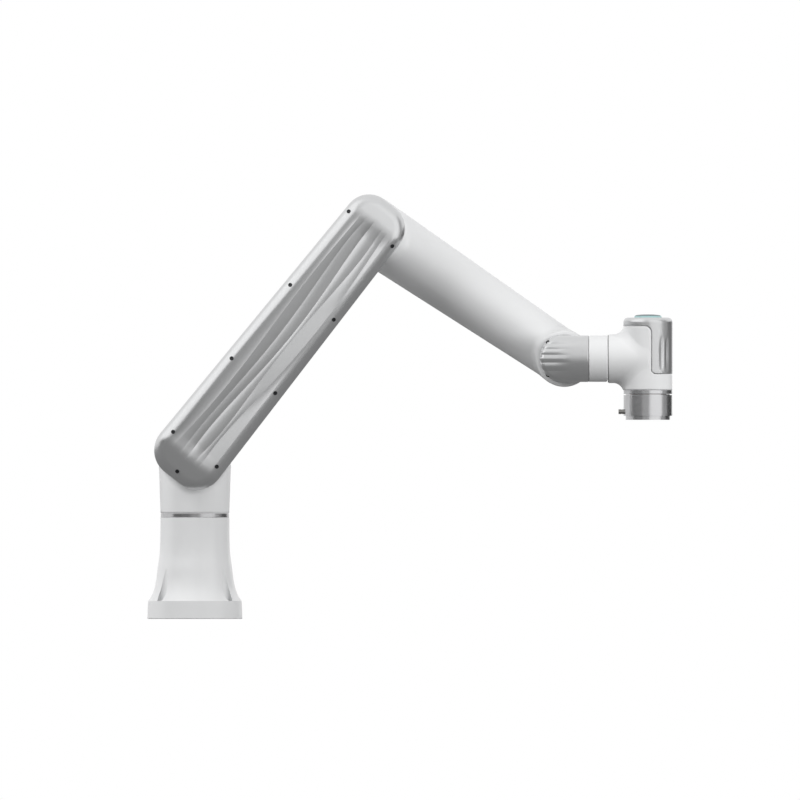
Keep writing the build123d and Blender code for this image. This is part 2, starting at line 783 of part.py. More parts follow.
with BuildPart() as forearm_tube:
    drum(forearm_end_back, forearm_end_radius, forearm_back + forearm_face)
    back_edge = forearm_tube.edges().filter_by(GeomType.CIRCLE).sort_by(Axis.Y)[-1]
    fillet(back_edge, forearm_back_edge)
    tapered_run(0, forearm_length, 0)
    drum(elbow_rear, forearm_elbow_radius, -(elbow_back + shoulder_face))
    drum(elbow_drive_plane, elbow_seat_radius, seat_length, Mode.SUBTRACT)
    drum(
        elbow_drive_plane.offset(seat_length),
        elbow_rear_cavity_radius,
        elbow_back + shoulder_face - seat_length,
        Mode.SUBTRACT,
    )
    tapered_run(
        forearm_elbow_radius,
        forearm_length - forearm_end_cavity_radius / 2,
        forearm_wall,
        Mode.SUBTRACT,
    )
    tapered_run(forearm_cavity_start, forearm_elbow_radius, forearm_passage_inset, Mode.SUBTRACT)
    drum(
        front_plane(wrist_x, wrist_z, -forearm_back + forearm_end_wall),
        forearm_end_cavity_radius,
        forearm_back + forearm_face - 2 * forearm_end_wall,
        Mode.SUBTRACT,
    )
    drum(front_plane(wrist_x, wrist_z, forearm_face), small_spigot, wrist_ring_height + seam_gap)
    drum(
        front_plane(wrist_x, wrist_z, forearm_face - forearm_end_wall),
        small_cable_bore,
        forearm_end_wall + wrist_ring_height + seam_gap,
        Mode.SUBTRACT,
    )
    extrude(cap_posts(elbow_rear, elbow_post_circle_radius), amount=-cap_depth)
    with BuildSketch(elbow_rear):
        with PolarLocations(elbow_post_circle_radius, cap_screw_count, start_angle=first_post_angle):
            Circle(screw_shank_radius + slip_gap)
    extrude(amount=-cap_depth, mode=Mode.SUBTRACT)
name_and_write(forearm_tube.part, "forearm_tube")


def elbow_form(radius, back_depth, end_x):
    """The wrist elbow: a leg towards the viewer that turns into a leg along X, with a round nose."""
    with BuildPart() as nose:
        with BuildSketch(side_plane(wrist_x)):
            Circle(radius)
        extrude(amount=end_x - wrist_x)
        extrude(nose.faces().sort_by(Axis.X)[0], amount=radius)
        with BuildSketch(front_plane(wrist_x, wrist_z, 0)):
            Circle(radius)
            with Locations(((end_x - wrist_x) / 2, 0)):
                Rectangle(end_x - wrist_x, 2 * radius)
        extrude(amount=wrist_depth + radius, mode=Mode.INTERSECT)
    with BuildPart() as elbow:
        drum(front_plane(wrist_x, wrist_z, back_depth), radius, wrist_depth - back_depth)
        add(nose.part)
    return elbow.part


# Where the grey cap lies on wrist 1: in front of its middle plane, up to a line beyond the joint axis
with BuildPart() as wrist_1_cap_region:
    with BuildSketch(front_plane(wrist_x, wrist_z, wrist_depth - wrist_1_cover_lap)):
        with Locations((wrist_1_cover_reach, 0)):
            Rectangle(
                wrist_1_cover_reach + 2 * wrist_radius,
                3 * wrist_radius,
                align=(Align.MAX, Align.CENTER),
            )
    extrude(amount=2 * wrist_radius)

leg_end = wrist_seam_x - slip_gap
wrist_1_form = elbow_form(wrist_radius, wrist_1_back, leg_end)
wrist_1_liner = elbow_form(wrist_liner_radius, wrist_1_back, leg_end)
wrist_1_skin = elbow_form(cover_radius, wrist_1_back, leg_end)


def wrist_1_screw_planes():
    """Planes on the cap's rim, leaning outwards, where its two screws sit."""
    planes = []
    for angle in (180 - wrist_screw_angle, 180 + wrist_screw_angle):
        outward = Vector(cos(radians(angle)), 0, sin(radians(angle)))
        lean = radians(wrist_screw_lean)
        normal = outward * cos(lean) + Vector(0, -1, 0) * sin(lean)
        place = Vector(wrist_x, -wrist_screw_depth, wrist_z) + outward * wrist_screw_radius
        planes.append(Plane(origin=place, z_dir=normal))
    return planes


with BuildPart() as wrist_1_housing:
    add(wrist_1_form)
    add(wrist_1_cap_region.part, mode=Mode.SUBTRACT)
    add(wrist_1_liner)
    drum(wrist_1_drive_plane, small_seat_radius, seat_length, Mode.SUBTRACT)
    leg_start = side_plane(wrist_x)
    drum(leg_start, small_seat_radius, wrist_leg_length - slip_gap - wrist_1_leg_wall, Mode.SUBTRACT)
    leg_face = leg_start.offset(wrist_leg_length - slip_gap)
    drum(leg_face, small_spigot, wrist_seam + slip_gap)
    drum(leg_start, small_cable_bore, wrist_reach, Mode.SUBTRACT)
    for screw_plane in wrist_1_screw_planes():
        drum(
            screw_plane.offset(-wrist_screw_length),
            screw_shank_radius + slip_gap,
            wrist_screw_length,
            Mode.SUBTRACT,
        )
        drum(
            screw_plane.offset(-screw_head_height - slip_gap),
            screw_head_radius + 2 * slip_gap,
            wrist_screw_length,
            Mode.SUBTRACT,
        )
name_and_write(wrist_1_housing.part, "wrist_1_housing")

with BuildPart() as wrist_1_cover:
    add(wrist_1_skin)
    add(elbow_form(wrist_liner_radius + seat_clearance, wrist_1_back, leg_end), mode=Mode.SUBTRACT)
    add(wrist_1_cap_region.part, mode=Mode.INTERSECT)
    for screw_plane in wrist_1_screw_planes():
        drum(
            screw_plane.offset(-wrist_screw_length),
            screw_shank_radius + slip_gap,
            wrist_screw_length,
            Mode.SUBTRACT,
        )
        drum(
            screw_plane.offset(-screw_head_height - slip_gap),
            screw_head_radius + slip_gap,
            wrist_screw_length,
            Mode.SUBTRACT,
        )
name_and_write(wrist_1_cover.part, "wrist_1_cover")

with BuildPart() as wrist_1_cover_screws:
    for screw_plane in wrist_1_screw_planes():
        drum(screw_plane.offset(-screw_head_height), screw_head_radius, screw_head_height)
        drum(screw_plane.offset(-wrist_screw_length), screw_shank_radius, wrist_screw_length - slip_gap)
        with BuildSketch(screw_plane):
            RegularPolygon(screw_socket_width / 2, 6, major_radius=False)
        extrude(amount=-screw_socket_depth, mode=Mode.SUBTRACT)
name_and_write(wrist_1_cover_screws.part, "wrist_1_cover_screws")

seal_plane = side_plane(wrist_seam_x)
with BuildPart() as wrist_seal_ring:
    tube(seal_plane, wrist_seal_radius, small_seat_radius, wrist_seam)
name_and_write(wrist_seal_ring.part, "wrist_seal_ring")


def tool_plane(height):
    """A level plane on the tool axis, at a height above the wrist axis."""
    return Plane(origin=(tool_x, -wrist_depth, wrist_z + height), x_dir=(1, 0, 0), z_dir=(0, 0, 1))


# Where the grey cap lies on wrist 2: over its top and down its far side
with BuildPart() as wrist_2_cap_region:
    with BuildSketch(front_plane(tool_x, wrist_z, wrist_depth - 2 * wrist_radius)):
        with BuildLine():
            Polyline(
                (-2 * wrist_radius, wrist_2_cover_step),
                (wrist_2_cover_side, wrist_2_cover_step),
                (wrist_2_cover_side, -wrist_2_cover_low),
                (2 * wrist_radius, -wrist_2_cover_low),
                (2 * wrist_radius, 2 * wrist_2_top),
                (-2 * wrist_radius, 2 * wrist_2_top),
                close=True,
            )
        region_face = make_face()
        corner_points = region_face.vertices().group_by(Axis.X)[1]
        fillet(corner_points, wrist_2_cover_corner)
    extrude(amount=4 * wrist_radius)

with BuildPart() as wrist_2_housing:
    drum(wrist_2_drive_plane, wrist_2_leg_radius, tool_x - wrist_2_start)
    drum(tool_plane(-wrist_2_bottom), wrist_radius, wrist_2_bottom + wrist_2_top)
    add(wrist_2_cap_region.part, mode=Mode.SUBTRACT)
    drum(tool_plane(-wrist_2_bottom), wrist_liner_radius, wrist_2_bottom + wrist_2_liner_top)
    drum(
        tool_plane(-wrist_2_bottom + wrist_2_plate),
        wrist_inner_radius,
        wrist_2_bottom + wrist_2_liner_top - 2 * wrist_2_plate,
        Mode.SUBTRACT,
    )
    drum(wrist_2_drive_plane, small_seat_radius, tool_x - wrist_2_start, Mode.SUBTRACT)
    neck_height = wrist_2_low_z - flange_inside_z - spline_start
    drum(tool_plane(-wrist_2_bottom), neck_outer_radius, -neck_height)
    drum(tool_drive_plane, small_seat_radius, seat_length, Mode.SUBTRACT)
    dome_well_wall = wrist_2_plate / 2
    dome_well_top = tool_plane(wrist_2_liner_top)
    drum(dome_well_top, dome_well_radius + dome_well_wall, -dome_well_depth - dome_well_wall)
    drum(dome_well_top, dome_well_radius, -dome_well_depth, Mode.SUBTRACT)
name_and_write(wrist_2_housing.part, "wrist_2_housing")

with BuildPart() as wrist_2_cover:
    drum(tool_plane(-wrist_2_bottom), cover_radius, wrist_2_bottom + wrist_2_top)
    top_edge = wrist_2_cover.edges().filter_by(GeomType.CIRCLE).sort_by(Axis.Z)[-1]
    fillet(top_edge, wrist_2_top_edge)
    drum(
        tool_plane(-wrist_2_bottom),
        wrist_liner_radius + seat_clearance,
        wrist_2_bottom + wrist_2_liner_top,
        Mode.SUBTRACT,
    )
    add(wrist_2_cap_region.part, mode=Mode.INTERSECT)
    drum(tool_plane(0), light_outer_radius + slip_gap, 2 * wrist_2_top, Mode.SUBTRACT)
    for flute_angle in wrist_2_flute_angles:
        outward = Vector(sin(radians(flute_angle)), -cos(radians(flute_angle)), 0)
        flute_place = Vector(tool_x, -wrist_depth, wrist_z) + outward * cover_radius
        flute(
            Plane(origin=flute_place, x_dir=(0, 0, 1), z_dir=outward),
            wrist_2_flute_length,
            wrist_2_flute_width,
            wrist_2_flute_depth,
        )
name_and_write(wrist_2_cover.part, "wrist_2_cover")

with BuildPart() as status_light_ring:
    tube(tool_plane(wrist_2_liner_top), light_outer_radius, light_inner_radius, light_height)
    upper_edges = status_light_ring.edges().group_by(Axis.Z)[-1]
    fillet(upper_edges.sort_by(SortBy.RADIUS)[-1], light_edge)
name_and_write(status_light_ring.part, "status_light_ring")

button_low = wrist_2_liner_top + button_travel + running_gap
with BuildPart() as guide_button:
    drum(tool_plane(button_low), button_radius, button_rim_height + button_crown)
    crown_edge = guide_button.edges().group_by(Axis.Z)[-1]
    fillet(crown_edge, button_crown)
    drum(tool_plane(button_low), button_stem_radius, -button_stem_length)
name_and_write(guide_button.part, "guide_button")

with BuildPart() as button_return_dome:
    well_floor = tool_plane(wrist_2_liner_top - dome_well_depth)
    tube(well_floor, dome_foot_radius, dome_top_radius, dome_wall)
    tube(well_floor, dome_top_radius + dome_wall, dome_top_radius, dome_well_depth - running_gap)
name_and_write(button_return_dome.part, "button_return_dome")


# Tool flange: its fixed ring, the turning cup and the connector in its side
with BuildPart() as flange_ring:
    ring_plane = tool_plane(-wrist_2_bottom - flange_ring_height)
    tube(ring_plane, wrist_radius, neck_outer_radius + slip_gap, flange_ring_height)
    chamfer(widest_edges(flange_ring), ring_edge_break)
name_and_write(flange_ring.part, "flange_ring")

flange_face = Plane(origin=(tool_x, -wrist_depth, flange_z), x_dir=(1, 0, 0), z_dir=(0, 0, 1))
with BuildPart() as tool_flange:
    drum(flange_face, flange_step_radius, flange_top_z - flange_z)
    body_height = flange_shoulder_z - flange_z - flange_body_low
    drum(flange_face.offset(flange_body_low), wrist_radius, body_height)
    drum(tool_drive_plane, neck_clear_radius, flange_top_z - flange_inside_z, Mode.SUBTRACT)
    drum(flange_face, tool_pilot_radius, tool_pilot_depth, Mode.SUBTRACT)
    with BuildSketch(flange_face):
        with PolarLocations(tool_hole_circle_radius, tool_hole_count, start_angle=first_tool_hole_angle):
            Circle(tool_hole_radius)
    extrude(amount=flange_floor, mode=Mode.SUBTRACT)
    with BuildSketch(flange_face):
        with PolarLocations(tool_hole_circle_radius, 1):
            Circle(tool_dowel_radius)
    extrude(amount=tool_dowel_depth, mode=Mode.SUBTRACT)
    connector_plane = Plane(
        origin=(tool_x - wrist_radius, -wrist_depth, flange_z + connector_height),
        x_dir=(0, 1, 0),
        z_dir=(-1, 0, 0),
    )
    connector_bore = connector_radius + slip_gap
    drum(connector_plane.offset(-connector_seat), connector_bore, 2 * connector_seat, Mode.SUBTRACT)
name_and_write(tool_flange.part, "tool_flange")

with BuildPart() as tool_connector:
    drum(connector_plane.offset(-connector_seat), connector_radius, connector_seat + connector_stand_out)
    connector_mouth = connector_plane.offset(connector_stand_out - connector_recess)
    drum(connector_mouth, connector_radius - connector_wall, connector_recess, Mode.SUBTRACT)
    tube(
        connector_plane.offset(connector_groove_place),
        2 * connector_radius,
        connector_radius - connector_groove,
        connector_groove_width,
        Mode.SUBTRACT,
    )
name_and_write(tool_connector.part, "tool_connector")
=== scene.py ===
import json
from math import ceil, cos, pi, radians, sin

import bmesh
import bpy
import numpy as np
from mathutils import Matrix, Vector

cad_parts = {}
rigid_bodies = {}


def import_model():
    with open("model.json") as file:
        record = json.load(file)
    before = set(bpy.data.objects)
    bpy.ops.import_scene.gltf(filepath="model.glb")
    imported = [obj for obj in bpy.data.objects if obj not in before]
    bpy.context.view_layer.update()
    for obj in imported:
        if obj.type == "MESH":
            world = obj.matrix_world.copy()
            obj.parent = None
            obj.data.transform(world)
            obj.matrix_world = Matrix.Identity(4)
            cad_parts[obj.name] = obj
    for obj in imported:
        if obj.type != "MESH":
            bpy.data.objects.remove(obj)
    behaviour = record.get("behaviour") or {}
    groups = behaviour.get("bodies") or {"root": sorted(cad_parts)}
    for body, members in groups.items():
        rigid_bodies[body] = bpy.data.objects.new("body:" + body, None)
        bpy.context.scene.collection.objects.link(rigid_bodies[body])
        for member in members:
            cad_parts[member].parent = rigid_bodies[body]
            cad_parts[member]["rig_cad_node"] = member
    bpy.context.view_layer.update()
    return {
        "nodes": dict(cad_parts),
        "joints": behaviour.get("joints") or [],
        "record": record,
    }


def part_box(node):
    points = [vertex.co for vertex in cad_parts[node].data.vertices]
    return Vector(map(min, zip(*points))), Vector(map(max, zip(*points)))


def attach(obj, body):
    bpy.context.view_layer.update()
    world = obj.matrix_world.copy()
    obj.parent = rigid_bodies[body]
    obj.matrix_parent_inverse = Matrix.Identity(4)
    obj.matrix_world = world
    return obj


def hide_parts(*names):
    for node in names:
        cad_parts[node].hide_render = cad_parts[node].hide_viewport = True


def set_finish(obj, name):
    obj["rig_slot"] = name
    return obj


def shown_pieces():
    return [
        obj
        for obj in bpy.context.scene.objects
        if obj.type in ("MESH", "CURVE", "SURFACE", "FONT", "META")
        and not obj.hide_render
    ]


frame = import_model()

# The arm in its rest pose, in metres. +Y points away from the viewer.
# Places come from the frame: the joints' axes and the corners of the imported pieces.
mm = 0.001
joint_place = {
    joint["name"]: Vector(joint["pos_m"]) for joint in frame["joints"] if "pos_m" in joint
}
shoulder_axis = joint_place["shoulder_swing"]
elbow_axis = joint_place["elbow_bend"]
wrist_axis = joint_place["wrist_1_turn"]
tool_axis = joint_place["tool_turn"]
wrist_y = tool_axis.y
forearm_y = -21 * mm


# Fields: each gives the distance from a point to a form, and is negative inside it

def rod(p, start, end, radius, end_radius=None, edge=0.0):
    """A round bar with flat ends, tapered if it has an end radius."""
    start = np.array(start, float)
    end = np.array(end, float)
    length = np.linalg.norm(end - start)
    heading = (end - start) / length
    offset = p - start
    along = offset @ heading
    across = np.linalg.norm(offset - along[..., None] * heading, axis=-1)
    share = np.clip(along / length, 0, 1)
    side = across - (radius + ((end_radius or radius) - radius) * share)
    ends = np.abs(along - length / 2) - length / 2
    return meet(side, ends, edge)


def meet(a, b, edge=0.0):
    """What two forms share, with a rounded edge."""
    if edge == 0:
        return np.maximum(a, b)
    over_a = np.maximum(a + edge, 0)
    over_b = np.maximum(b + edge, 0)
    return np.minimum(-edge, np.maximum(a, b)) + np.hypot(over_a, over_b)


def join(a, b, fillet):
    """Both forms, with a fillet in the corner between them. The fillet may differ from point to point."""
    under_a = np.maximum(fillet - a, 0)
    under_b = np.maximum(fillet - b, 0)
    return np.maximum(fillet, np.minimum(a, b)) - np.hypot(under_a, under_b)


def fade(value, start, end):
    """Rises smoothly from 0 at start to 1 at end."""
    share = np.clip((value - start) / (end - start), 0, 1)
    return share * share * (3 - 2 * share)


def corner_fillet(fillet, flank):
    """A fillet that vanishes towards the flanks, where two equal tubes run into each other."""
    return fillet * np.clip(1 - flank**2, 0, 1) + 0.2 * mm


# Meshes

def level_surface(field, low, high, step):
    """Points and quads of a field's zero level, with one point in each cell that it crosses."""
    low = np.array(low, float)
    counts = [int(ceil((high[axis] - low[axis]) / step)) + 1 for axis in range(3)]
    ticks = [low[axis] + step * np.arange(counts[axis]) for axis in range(3)]
    grid = np.stack(np.meshgrid(*ticks, indexing="ij"), axis=-1)
    inside = field(grid) < 0
    corners = sum(
        inside[i:counts[0] - 1 + i, j:counts[1] - 1 + j, k:counts[2] - 1 + k].astype(int)
        for i in (0, 1) for j in (0, 1) for k in (0, 1)
    )
    crossed = (corners > 0) & (corners < 8)
    number = np.full(crossed.shape, -1)
    number[crossed] = np.arange(crossed.sum())
    points = low + step * (np.argwhere(crossed) + 0.5)
    quads = []
    for axis in range(3):
        side_1, side_2 = (axis + 1) % 3, (axis + 2) % 3
        turned = np.moveaxis(inside, (axis, side_1, side_2), (0, 1, 2))
        cells = np.moveaxis(number, (axis, side_1, side_2), (0, 1, 2))
        here = turned[:-1, 1:-1, 1:-1]
        there = turned[1:, 1:-1, 1:-1]
        ring = np.stack(
            [cells[:, :-1, :-1], cells[:, 1:, :-1], cells[:, 1:, 1:], cells[:, :-1, 1:]], axis=-1
        )
        quads.append(ring[here & ~there])
        quads.append(ring[~here & there][:, ::-1])
    quads = np.concatenate(quads)
    return settle(points, quads, field, step)


def pull_on(points, field, step):
    """Moves points onto a field's zero level along its slope."""
    small = 0.02 * mm
    for _ in range(3):
        value = field(points)
        slope = np.stack(
            [(field(points + small * way) - value) / small for way in np.eye(3)], axis=-1
        )
        steep = np.maximum((slope**2).sum(axis=-1), 0.2)
        move = (value / steep)[:, None] * slope
        points = points - np.clip(move, -step, step)
    return points


def settle(points, quads, field, step):
    """Evens out a mesh and keeps it on the field's zero level."""
    edges = np.concatenate([quads[:, [0, 1]], quads[:, [1, 2]], quads[:, [2, 3]], quads[:, [3, 0]]])
    edges = np.unique(np.sort(edges, axis=1), axis=0)
    neighbours = np.bincount(edges.ravel(), minlength=len(points))[:, None]
    for _ in range(4):
        total = np.zeros_like(points)
        for side in (0, 1):
            np.add.at(total, edges[:, side], points[edges[:, 1 - side]])
        points = 0.3 * points + 0.7 * total / np.maximum(neighbours, 1)
        points = pull_on(points, field, step)
    return points, quads


def mesh_object(name, points, faces):
    """A smooth-shaded mesh object."""
    mesh = bpy.data.meshes.new(name)
    mesh.from_pydata([tuple(point) for point in points], [], [tuple(face) for face in faces])
    mesh.validate()
    mesh.shade_smooth()
    made = bpy.data.objects.new(name, mesh)
    bpy.context.scene.collection.objects.link(made)
    return made


def formed(name, field, low, high, step, body, slot, stands_for):
    """A piece whose surface is a field's zero level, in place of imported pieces."""
    margin = 3 * step
    low = [value - margin for value in low]
    high = [value + margin for value in high]
    points, quads = level_surface(field, low, high, step)
    piece = mesh_object(name, points, quads)
    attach(piece, body)
    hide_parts(*stands_for)
    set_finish(piece, slot)
    return piece


# Shoulder: a short column that turns into the barrel behind the upper arm

shoulder_neck_radius = 56.8 * mm
shoulder_barrel_radius = 60.2 * mm
shoulder_bottom = 174.7 * mm
shoulder_taper_top = 257 * mm
shoulder_top_radius = 59.6 * mm


def shoulder_form(p):
    low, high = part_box("shoulder_housing")
    barrel = rod(
        p,
        (0, low.y, shoulder_axis.z),
        (0, high.y, shoulder_axis.z),
        shoulder_barrel_radius,
        edge=1.5 * mm,
    )
    low_column = rod(
        p,
        (0, 0, shoulder_bottom),
        (0, 0, shoulder_taper_top),
        shoulder_neck_radius,
        shoulder_top_radius,
        edge=1.2 * mm,
    )
    high_column = rod(p, (0, 0, 250 * mm), (0, 0, shoulder_axis.z), shoulder_top_radius)
    column = np.minimum(low_column, high_column)
    return join(barrel, column, corner_fillet(16 * mm, p[..., 0] / shoulder_barrel_radius))


formed(
    "shoulder_housing_skin", shoulder_form, *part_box("shoulder_housing"), 2.0 * mm,
    "shoulder", "white_paint", ["shoulder_housing"],
)


# Forearm: a tapered tube between the elbow barrel and the rounded wrist end
forearm_heading = wrist_axis - elbow_axis
forearm_heading.y = 0
forearm_heading.normalize()
forearm_across = Vector((-forearm_heading.z, 0, forearm_heading.x))
elbow_radius = 53.5 * mm
elbow_front, elbow_back = -78 * mm, 34 * mm
tube_end_radius = 44.6 * mm
wrist_end_radius = 46.5 * mm
wrist_end_front, wrist_end_back = -72 * mm, 24 * mm


def forearm_form(p):
    start = (elbow_axis.x, forearm_y, elbow_axis.z)
    end = (wrist_axis.x, forearm_y, wrist_axis.z)
    offset = p - np.array(start)
    flank = offset @ np.array(forearm_across) / elbow_radius
    tube = rod(p, start, end, elbow_radius, tube_end_radius)
    barrel = rod(
        p,
        (start[0], elbow_front, start[2]),
        (start[0], elbow_back, start[2]),
        elbow_radius,
        edge=1.5 * mm,
    )
    wrist_end = rod(
        p,
        (end[0], wrist_end_front, end[2]),
        (end[0], wrist_end_back, end[2]),
        wrist_end_radius,
        edge=4.5 * mm,
    )
    near = join(tube, barrel, corner_fillet(18 * mm, flank))
    return join(near, wrist_end, corner_fillet(14 * mm, flank))


formed(
    "forearm_tube_skin", forearm_form, *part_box("forearm_tube"), 2.0 * mm,
    "forearm", "white_paint", ["forearm_tube"],
)


# Wrist 1: an elbow with a round nose, and its fluted grey cap
wrist_radius = 40.2 * mm
cap_wall = 3.2 * mm
cap_seam = 0.4 * mm
wrist_leg_end = 681.1 * mm
wrist_1_back = -76.4 * mm
# Heights over the wrist's axis and half widths of the flutes, in millimetres
wrist_1_flute_places = ((24.4, 6.0), (16.0, 5.0), (6.3, 6.5), (-6.1, 7.0), (-20.0, 8.0))
wrist_1_flute_depth = 1.9 * mm


def wrist_1_form(p):
    nose = rod(
        p,
        (wrist_axis.x - 2 * wrist_radius, wrist_y, wrist_axis.z),
        (wrist_leg_end, wrist_y, wrist_axis.z),
        wrist_radius,
        edge=1.0 * mm,
    )
    past_axis = np.maximum(p[..., 0] - wrist_axis.x, 0)
    before_axis = np.minimum(p[..., 0] - wrist_axis.x, 0)
    stadium = np.hypot(before_axis, p[..., 2] - wrist_axis.z) - wrist_radius
    nose = meet(nose, stadium, 7 * mm)
    leg = rod(
        p,
        (wrist_axis.x, wrist_1_back, wrist_axis.z),
        (wrist_axis.x, wrist_y, wrist_axis.z),
        wrist_radius,
        edge=1.0 * mm,
    )
    flank = (p[..., 2] - wrist_axis.z) / wrist_radius
    inner_corner = corner_fillet(12 * mm, flank) * np.clip(past_axis / wrist_radius, 0, 1)
    return join(nose, leg, inner_corner + 0.1 * mm)


def wrist_1_cap_region(p):
    right = p[..., 0] - (wrist_axis.x + 40 * mm)
    back = p[..., 1] - (wrist_y + 8 * mm)
    return meet(right, back, 1.0 * mm)


def wrist_1_flutes(p):
    """How deep the cap's flutes are at each point: narrow valleys that start at the left rim."""
    depth = np.zeros(p.shape[:-1])
    for height, width in wrist_1_flute_places:
        place = (p[..., 2] - wrist_axis.z - height * mm) / (width * mm)
        depth += wrist_1_flute_depth * np.clip(1 - np.abs(place), 0, 1) ** 1.5
    return depth * (1 - fade(p[..., 0], wrist_axis.x - 22 * mm, wrist_axis.x + 16 * mm))


def wrist_1_housing_form(p):
    form = wrist_1_form(p)
    recess = np.maximum(wrist_1_cap_region(p) - cap_seam, -(form + cap_wall + 0.2 * mm))
    return meet(form, -recess, 0.5 * mm)


def wrist_1_cap_form(p):
    form = wrist_1_form(p)
    skin = form - 0.3 * mm + wrist_1_flutes(p)
    shell = np.maximum(skin, -(form + cap_wall))
    return meet(shell, wrist_1_cap_region(p), 0.6 * mm)


formed(
    "wrist_1_housing_skin", wrist_1_housing_form, *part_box("wrist_1_housing"), 1.4 * mm,
    "wrist_1", "white_paint", ["wrist_1_housing"],
)
formed(
    "wrist_1_fluted_cap", wrist_1_cap_form, *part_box("wrist_1_cover"), 1.0 * mm,
    "wrist_1", "satin_grey", ["wrist_1_cover"],
)


# Wrist 2: an upright body that grows out of a level tube, and the grey cap over its top and far side

body_blend = 4 * mm
wrist_2_bottom = wrist_axis.z - 51.4 * mm
wrist_2_top = wrist_axis.z + 67.7 * mm
wrist_2_leg_start = 682.3 * mm
light_well_radius = 24.5 * mm
groove_angles = (34, 50)
groove_half_angle = 8
groove_depth = 1.6 * mm


def wrist_2_form(p):
    upright = rod(
        p,
        (tool_axis.x, wrist_y, wrist_2_bottom),
        (tool_axis.x, wrist_y, wrist_2_top),
        wrist_radius,
        edge=1.0 * mm,
    )
    crown = rod(
        p,
        (tool_axis.x, wrist_y, wrist_2_bottom - wrist_radius),
        (tool_axis.x, wrist_y, wrist_2_top),
        wrist_radius,
        edge=7.5 * mm,
    )
    upright = np.maximum(upright, crown)
    level = rod(
        p,
        (wrist_2_leg_start, wrist_y, wrist_axis.z),
        (tool_axis.x, wrist_y, wrist_axis.z),
        wrist_radius,
        edge=1.0 * mm,
    )
    flank = (p[..., 1] - wrist_y) / wrist_radius
    before_axis = np.clip((tool_axis.x - p[..., 0]) / wrist_radius, 0, 1)
    return join(upright, level, corner_fillet(13 * mm, flank) * before_axis + body_blend)


def wrist_2_cap_region(p):
    side = tool_axis.x + 6 * mm - p[..., 0]
    step = wrist_axis.z + 54.2 * mm - p[..., 2]
    above = join(side, step, 11.5 * mm)
    return meet(above, wrist_axis.z - 24.9 * mm - p[..., 2], 7 * mm)


def wrist_2_grooves(p):
    """Two upright lens-shaped grooves in the cap."""
    angle = np.arctan2(p[..., 0] - tool_axis.x, wrist_y - p[..., 1])
    height = (p[..., 2] - wrist_axis.z - 8 * mm) / (30 * mm)
    lens = np.clip(1 - height**2, 0, 1)
    depth = np.zeros(p.shape[:-1])
    for middle in groove_angles:
        place = (angle - radians(middle)) / radians(groove_half_angle)
        depth += groove_depth * np.clip(1 - np.abs(place), 0, 1) * lens
    return depth


def light_well(p):
    across = np.hypot(p[..., 0] - tool_axis.x, p[..., 1] - wrist_y)
    return np.maximum(across - light_well_radius, wrist_axis.z + 40 * mm - p[..., 2])


def wrist_2_housing_form(p):
    form = wrist_2_form(p)
    recess = np.maximum(wrist_2_cap_region(p) - cap_seam, -(form + cap_wall + 0.2 * mm))
    housing = meet(form, -recess, 0.5 * mm)
    return np.maximum(housing, -np.maximum(light_well(p), wrist_axis.z + 64.4 * mm - p[..., 2]))


def wrist_2_cap_form(p):
    form = wrist_2_form(p)
    skin = form - 0.3 * mm + wrist_2_grooves(p)
    shell = np.maximum(skin, -(form + cap_wall))
    shell = meet(shell, wrist_2_cap_region(p), 0.6 * mm)
    return meet(shell, -light_well(p), 0.4 * mm)


formed(
    "wrist_2_housing_skin", wrist_2_housing_form, *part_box("wrist_2_housing"), 1.4 * mm,
    "wrist_2", "white_paint", ["wrist_2_housing"],
)
formed(
    "wrist_2_grooved_cap", wrist_2_cap_form, *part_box("wrist_2_cover"), 1.0 * mm,
    "wrist_2", "satin_grey", ["wrist_2_cover"],
)


# Light ring and guide button: a low cone of teal plastic around a flat dome

def lathed(name, profile, body, slot, stands_for):
    """A closed solid turned about the tool's axis, from its outline as radii and heights."""
    mesh = bmesh.new()
    sides = 96
    rings = []
    for radius, height in profile:
        ring = []
        for side in range(sides):
            angle = 2 * pi * side / sides
            across = Vector((radius * cos(angle), radius * sin(angle), 0))
            ring.append(mesh.verts.new(Vector((tool_axis.x, wrist_y, height)) + across))
        rings.append(ring)
    for lower, upper in zip(rings, rings[1:] + rings[:1]):
        for side in range(sides):
            after = (side + 1) % sides
            mesh.faces.new((lower[side], lower[after], upper[after], upper[side]))
    bmesh.ops.remove_doubles(mesh, verts=mesh.verts, dist=0.001 * mm)
    bmesh.ops.recalc_face_normals(mesh, faces=mesh.faces)
    data = bpy.data.meshes.new(name)
    mesh.to_mesh(data)
    mesh.free()
    data.shade_smooth()
    piece = bpy.data.objects.new(name, data)
    bpy.context.scene.collection.objects.link(piece)
    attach(piece, body)
    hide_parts(stands_for)
    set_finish(piece, slot)


ring_low, ring_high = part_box("status_light_ring")
button_low, button_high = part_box("guide_button")
ring_radius = (ring_high.x - ring_low.x) / 2
button_radius = (button_high.x - button_low.x) / 2
ring_top = ring_high.z + 1.0 * mm
ring_taper = 3.0 * mm
button_gap = 0.3 * mm
crown = button_high.z - ring_top
ring_slope = [
    (ring_radius - ring_taper * share, ring_low.z + (ring_top - ring_low.z) * sin(share * pi / 2))
    for share in np.linspace(0, 0.86, 10)
]
ring_bore = button_radius + button_gap
lathed(
    "teal_light_ring",
    [(ring_bore, ring_low.z)] + ring_slope + [(ring_bore, ring_slope[-1][1])],
    "wrist_2", "light_plastic", "status_light_ring",
)
dome = [
    (button_radius * cos(share * pi / 2), button_high.z - crown + crown * sin(share * pi / 2))
    for share in np.linspace(0, 0.999, 12)
]
lathed(
    "domed_guide_button",
    [(0.01 * mm, button_low.z), (button_radius, button_low.z)] + dome,
    "guide_button", "button_plastic", "guide_button",
)


